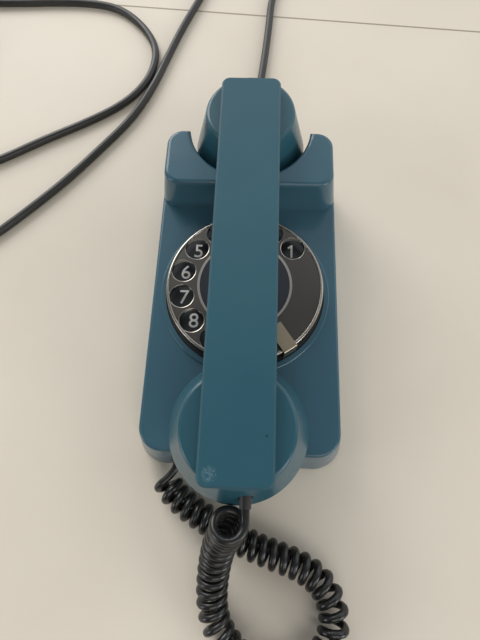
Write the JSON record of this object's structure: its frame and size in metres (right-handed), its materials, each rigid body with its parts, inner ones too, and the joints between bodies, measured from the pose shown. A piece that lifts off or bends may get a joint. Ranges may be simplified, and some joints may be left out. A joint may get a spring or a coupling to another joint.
{
  "type": "rotary wall telephone",
  "caption": "Compact blue wall telephone with a rotary finger wheel, a slab handset lying over it, a curled handset cord and a line cord with a plug.",
  "frame": {"origin": "middle of the wall slots, on the plane of the rubber feet that touch the wall", "axes": "+Z out of the wall (up as it lies on its back), +Y along the handset towards the earpiece, +X to the right of someone facing the dial"},
  "size_m": [0.3706, 0.5077, 0.066],
  "materials": {
    "shell_blue": "satin gloss",
    "handset_blue": "satin gloss",
    "plate_black": "matte",
    "feet_rubber": "matte",
    "screw_steel": "satin",
    "case_black": "matte",
    "number_black": "satin",
    "stop_metal": "satin",
    "wheel_metal": "satin anodised",
    "ring_silver": "polished",
    "disc_black": "gloss",
    "gear_brass": "satin",
    "shaft_steel": "satin",
    "board_green": "satin",
    "block_ivory": "matte",
    "winding_copper": "satin",
    "core_grey": "satin",
    "capacitor_yellow": "gloss",
    "hook_white": "satin",
    "gong_steel": "satin",
    "capsule_alu": "satin",
    "gasket_felt": "matte",
    "weight_iron": "matte",
    "relief_black": "matte",
    "cord_black": "satin",
    "line_grey": "satin",
    "tie_black": "matte",
    "plug_black": "satin",
    "pin_brass": "satin"
  },
  "bodies": {
    "base": {"base_cover": "shell_blue", "base_plate": "plate_black", "rubber_feet": "feet_rubber", "base_screws": "screw_steel", "dial_case": "case_black", "dial_bridge": "shaft_steel", "dial_screws": "screw_steel", "number_plate": "number_black", "finger_stop": "stop_metal", "pulse_contacts": "shaft_steel", "return_spring": "shaft_steel", "circuit_board": "board_green", "terminal_block": "block_ivory", "terminal_screws": "screw_steel", "transformer_core": "core_grey", "transformer_winding": "winding_copper", "line_capacitor": "capacitor_yellow", "hook_bracket": "shaft_steel", "hook_pin": "shaft_steel", "hook_contacts": "block_ivory", "ringer_bracket": "shaft_steel", "ringer_core": "weight_iron", "ringer_winding": "winding_copper", "ringer_gongs": "gong_steel", "gong_screws": "screw_steel", "clapper_pin": "shaft_steel", "cord_grommet": "relief_black", "line_gland": "relief_black", "handset_cord": "cord_black", "line_cord": "line_grey", "line_cord_coil": "line_grey", "coil_tie": "tie_black", "plug_body": "plug_black", "plug_pins": "pin_brass"},
    "dial": {"finger_wheel": "wheel_metal", "wheel_disc": "disc_black", "wheel_ring": "ring_silver", "dial_shaft": "shaft_steel", "main_gear": "gear_brass"},
    "governor": {"governor_pinion": "gear_brass", "pulse_cam": "block_ivory", "governor_weights": "weight_iron"},
    "handset": {"handset_cover": "handset_blue", "handset_body": "handset_blue", "ear_cap": "handset_blue", "mouth_cap": "handset_blue", "receiver_capsule": "capsule_alu", "transmitter_capsule": "capsule_alu", "capsule_rings": "gasket_felt", "handset_screws": "screw_steel", "handset_weight": "weight_iron", "handset_relief": "relief_black"},
    "hook_plunger": {"hook_plunger": "hook_white"},
    "hook_lever": {"hook_lever": "hook_white"},
    "clapper": {"clapper": "gear_brass"}
  },
  "joints": [
    {"name": "handset_lift", "type": "slide", "parent": "base", "child": "handset", "axis": [0, 0, 1], "range_m": [0, 0.06]},
    {"name": "dial_turn", "type": "hinge", "parent": "base", "child": "dial", "pos_m": [0, -0.0038, 0.037], "axis": [0, 0, 1], "range_deg": [-320, 0], "stiffness_Nm_per_rad": 0.0025, "springref_deg": 68.75},
    {"name": "governor_turn", "type": "hinge", "parent": "base", "child": "governor", "pos_m": [-0.00503, 0.02471, 0.018], "axis": [0, 0, 1], "range_deg": [0, 1600]},
    {"name": "hook_plunger_slide", "type": "slide", "parent": "base", "child": "hook_plunger", "axis": [0, 0, 1], "range_m": [0, 0.004]},
    {"name": "hook_lever_turn", "type": "hinge", "parent": "base", "child": "hook_lever", "pos_m": [0, 0.058, 0.0184], "axis": [1, 0, 0], "range_deg": [0, 12.1]},
    {"name": "clapper_swing", "type": "hinge", "parent": "base", "child": "clapper", "pos_m": [0, -0.048, 0.016], "axis": [0, 0, 1], "range_deg": [-7.5, 7.5]}
  ],
  "couplings": [
    {"joint": "governor_turn", "follows": "dial_turn", "ratio": -5},
    {"joint": "hook_plunger_slide", "follows": "handset_lift", "ratio": 0.06666},
    {"joint": "hook_lever_turn", "follows": "handset_lift", "rad_per_m": 3.49}
  ]
}
